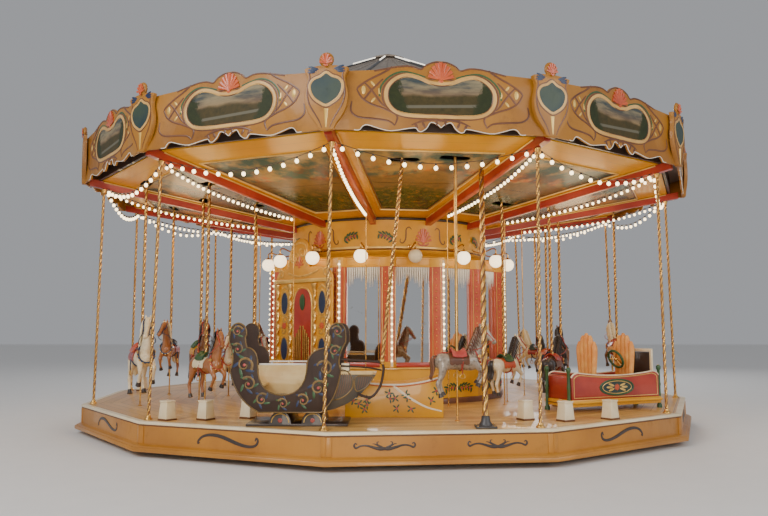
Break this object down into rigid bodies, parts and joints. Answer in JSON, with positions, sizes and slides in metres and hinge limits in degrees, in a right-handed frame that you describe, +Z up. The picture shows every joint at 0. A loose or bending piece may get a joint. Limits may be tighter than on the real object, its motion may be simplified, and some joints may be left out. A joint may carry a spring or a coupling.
{
  "type": "fairground carousel",
  "caption": "Vintage-style fairground carousel with a turning platform, jumping horses, a gondola, a bench and a car under a painted round canopy.",
  "frame": {"origin": "on the ground, on the upright line that the platform turns about", "axes": "+Z up, -Y towards the viewer in the picture, +X to the right in the picture"},
  "size_m": [10.0492, 10.0492, 6.47],
  "materials": {
    "frame_steel": "satin",
    "floor_wood": "satin",
    "ochre_paint": "gloss",
    "red_paint": "gloss",
    "yellow_paint": "gloss",
    "dark_paint": "satin",
    "roof_sheet": "satin",
    "mirror_glass": "polished",
    "lamp_glass": "gloss",
    "gilt_paint": "gloss",
    "carved_wood": "gloss",
    "cream_paint": "gloss",
    "brass_pole": "polished",
    "seat_leather": "satin",
    "horse_paint": "gloss"
  },
  "bodies": {
    "base": {"ground_frame": "frame_steel", "centre_mast": "frame_steel"},
    "carousel": {"bench_body": "ochre_paint", "bench_seat": "cream_paint", "car_back_seat": "seat_leather", "car_body": "red_paint", "car_frame": "yellow_paint", "car_front_seat": "seat_leather", "car_screen": "cream_paint", "ceiling": "yellow_paint", "crown": "ochre_paint", "drum_base": "ochre_paint", "drum_cornice": "yellow_paint", "drum_frame": "red_paint", "drum_mirrors": "mirror_glass", "gondola_back_side": "carved_wood", "gondola_front_side": "carved_wood", "gondola_hull": "cream_paint", "gondola_pole": "brass_pole", "gondola_rail": "carved_wood", "gondola_stand": "dark_paint", "hanging_rod_01": "brass_pole", "hanging_rod_02": "brass_pole", "hanging_rod_03": "brass_pole", "hanging_rod_04": "brass_pole", "hanging_rod_05": "brass_pole", "hanging_rod_06": "brass_pole", "hanging_rod_07": "brass_pole", "hanging_rod_08": "brass_pole", "hanging_rod_09": "brass_pole", "hanging_rod_10": "brass_pole", "hanging_rod_11": "brass_pole", "hanging_rod_12": "brass_pole", "lamp_ring": "lamp_glass", "organ_front": "gilt_paint", "platform_floor": "floor_wood", "platform_skirt": "ochre_paint", "rim_ring": "dark_paint", "roof": "roof_sheet", "roof_cap": "roof_sheet", "sweeps": "red_paint", "turning_hub": "frame_steel", "twist_post": "brass_pole"},
    "jumper_01": {"horse_01": "horse_paint"},
    "jumper_02": {"horse_02": "horse_paint"},
    "jumper_03": {"horse_03": "horse_paint"},
    "jumper_04": {"horse_04": "horse_paint"},
    "jumper_05": {"horse_05": "horse_paint"},
    "jumper_06": {"horse_06": "horse_paint"},
    "jumper_07": {"horse_07": "horse_paint"},
    "jumper_08": {"horse_08": "horse_paint"},
    "jumper_09": {"horse_09": "horse_paint"},
    "jumper_10": {"horse_10": "horse_paint"},
    "jumper_11": {"horse_11": "horse_paint"},
    "jumper_12": {"horse_12": "horse_paint"},
    "jumper_13": {"horse_13": "horse_paint"},
    "jumper_14": {"horse_14": "horse_paint"},
    "jumper_15": {"horse_15": "horse_paint"},
    "jumper_16": {"horse_16": "horse_paint"}
  },
  "joints": [
    {"name": "platform_turn", "type": "hinge", "parent": "base", "child": "carousel", "pos_m": [0, 0, 0], "axis": [0, 0, 1], "continuous": true},
    {"name": "jump_01", "type": "slide", "parent": "carousel", "child": "jumper_01", "axis": [0, 0, 1], "range_m": [-0.22, 0.08]},
    {"name": "jump_02", "type": "slide", "parent": "carousel", "child": "jumper_02", "axis": [0, 0, 1], "range_m": [-0.08, 0.22]},
    {"name": "jump_03", "type": "slide", "parent": "carousel", "child": "jumper_03", "axis": [0, 0, 1], "range_m": [-0.08, 0.22]},
    {"name": "jump_04", "type": "slide", "parent": "carousel", "child": "jumper_04", "axis": [0, 0, 1], "range_m": [-0.22, 0.08]},
    {"name": "jump_05", "type": "slide", "parent": "carousel", "child": "jumper_05", "axis": [0, 0, 1], "range_m": [-0.08, 0.22]},
    {"name": "jump_06", "type": "slide", "parent": "carousel", "child": "jumper_06", "axis": [0, 0, 1], "range_m": [-0.22, 0.08]},
    {"name": "jump_07", "type": "slide", "parent": "carousel", "child": "jumper_07", "axis": [0, 0, 1], "range_m": [-0.22, 0.08]},
    {"name": "jump_08", "type": "slide", "parent": "carousel", "child": "jumper_08", "axis": [0, 0, 1], "range_m": [-0.08, 0.22]},
    {"name": "jump_09", "type": "slide", "parent": "carousel", "child": "jumper_09", "axis": [0, 0, 1], "range_m": [-0.08, 0.22]},
    {"name": "jump_10", "type": "slide", "parent": "carousel", "child": "jumper_10", "axis": [0, 0, 1], "range_m": [-0.08, 0.22]},
    {"name": "jump_11", "type": "slide", "parent": "carousel", "child": "jumper_11", "axis": [0, 0, 1], "range_m": [-0.22, 0.08]},
    {"name": "jump_12", "type": "slide", "parent": "carousel", "child": "jumper_12", "axis": [0, 0, 1], "range_m": [-0.08, 0.22]},
    {"name": "jump_13", "type": "slide", "parent": "carousel", "child": "jumper_13", "axis": [0, 0, 1], "range_m": [-0.08, 0.22]},
    {"name": "jump_14", "type": "slide", "parent": "carousel", "child": "jumper_14", "axis": [0, 0, 1], "range_m": [-0.22, 0.08]},
    {"name": "jump_15", "type": "slide", "parent": "carousel", "child": "jumper_15", "axis": [0, 0, 1], "range_m": [-0.08, 0.22]},
    {"name": "jump_16", "type": "slide", "parent": "carousel", "child": "jumper_16", "axis": [0, 0, 1], "range_m": [-0.22, 0.08]}
  ],
  "couplings": [
    {"joint": "jump_02", "follows": "jump_01", "ratio": -1},
    {"joint": "jump_03", "follows": "jump_01", "ratio": -1},
    {"joint": "jump_04", "follows": "jump_01", "ratio": 1},
    {"joint": "jump_05", "follows": "jump_01", "ratio": -1},
    {"joint": "jump_06", "follows": "jump_01", "ratio": 1},
    {"joint": "jump_07", "follows": "jump_01", "ratio": 1},
    {"joint": "jump_08", "follows": "jump_01", "ratio": -1},
    {"joint": "jump_09", "follows": "jump_01", "ratio": -1},
    {"joint": "jump_10", "follows": "jump_01", "ratio": -1},
    {"joint": "jump_11", "follows": "jump_01", "ratio": 1},
    {"joint": "jump_12", "follows": "jump_01", "ratio": -1},
    {"joint": "jump_13", "follows": "jump_01", "ratio": -1},
    {"joint": "jump_14", "follows": "jump_01", "ratio": 1},
    {"joint": "jump_15", "follows": "jump_01", "ratio": -1},
    {"joint": "jump_16", "follows": "jump_01", "ratio": 1}
  ]
}
